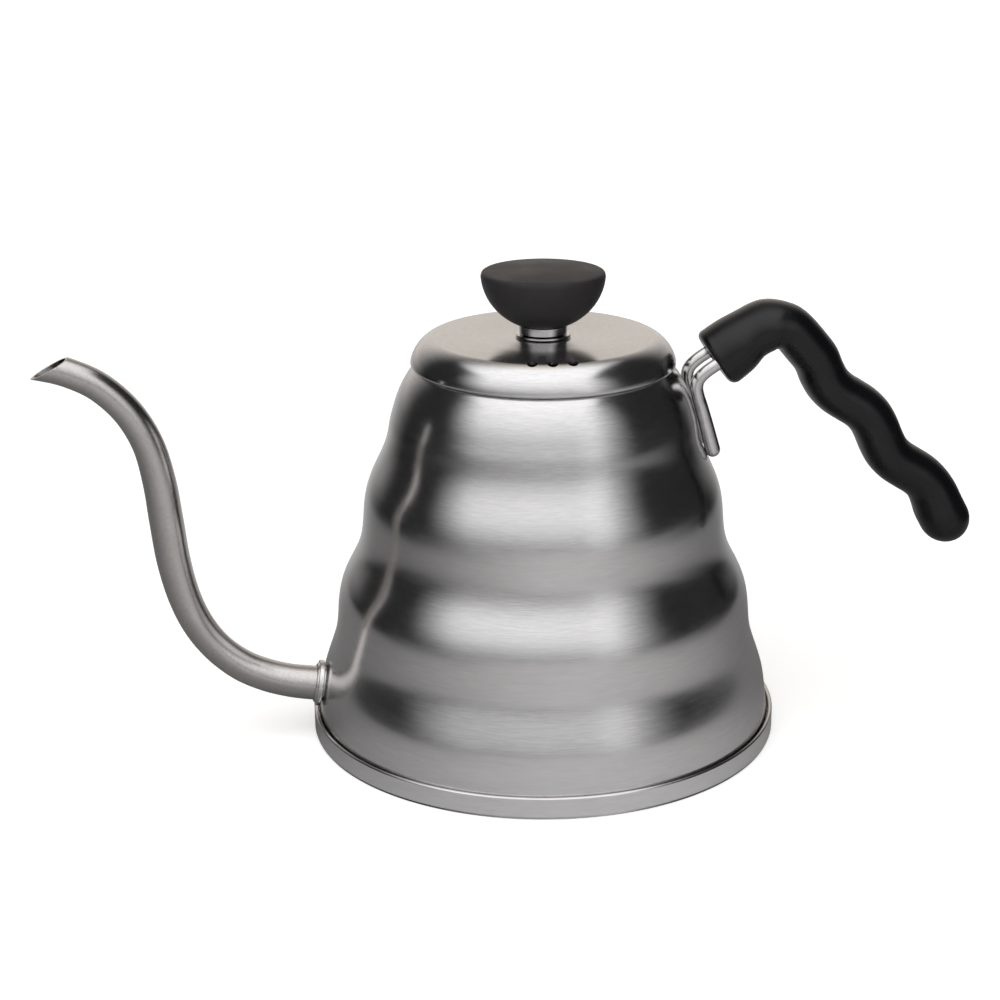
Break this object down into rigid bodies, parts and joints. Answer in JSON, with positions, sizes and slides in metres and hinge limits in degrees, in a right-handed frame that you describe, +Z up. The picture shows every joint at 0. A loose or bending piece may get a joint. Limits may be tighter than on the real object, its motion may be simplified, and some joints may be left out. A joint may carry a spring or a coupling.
{
  "type": "gooseneck kettle",
  "caption": "Stovetop pour-over kettle: lobed conical steel body, thin S-shaped spout from its foot, lift-off lid with a knob, and a black wavy grip on two bent steel rods.",
  "frame": {"origin": "centre of the base on the flat underside that the kettle stands on", "axes": "+Z up along the body's axis, +X towards the grip, so the spout points along -X, and +Y to the left of someone holding the grip and looking at the spout"},
  "size_m": [0.2858, 0.144, 0.1443],
  "materials": {
    "body_shell": "brushed round the axis",
    "base_pan": "brushed round the axis",
    "spout_tube": "satin",
    "spout_collar": "polished",
    "handle_rods": "polished",
    "grip": "black satin",
    "tie_plate": "plain",
    "screws": "turned",
    "lid_shell": "satin",
    "lid_skirt": "satin",
    "knob": "black satin",
    "ferrule": "polished",
    "knob_insert": "turned",
    "washer": "plain"
  },
  "bodies": {
    "kettle": {"body_shell": "body_shell", "base_pan": "base_pan", "spout_tube": "spout_tube", "spout_collar": "spout_collar", "handle_rod_left": "handle_rods", "handle_rod_right": "handle_rods", "grip": "grip", "rod_tie_plate": "tie_plate", "grip_screw": "screws"},
    "lid": {"lid_shell": "lid_shell", "lid_skirt": "lid_skirt", "knob": "knob", "knob_ferrule": "ferrule", "knob_foot_ring": "ferrule", "knob_insert": "knob_insert", "knob_screw": "screws", "knob_washer": "washer"}
  },
  "joints": [
    {"name": "lid_lift", "type": "slide", "parent": "kettle", "child": "lid", "axis": [0, 0, 1], "range_m": [0, 0.08]}
  ]
}
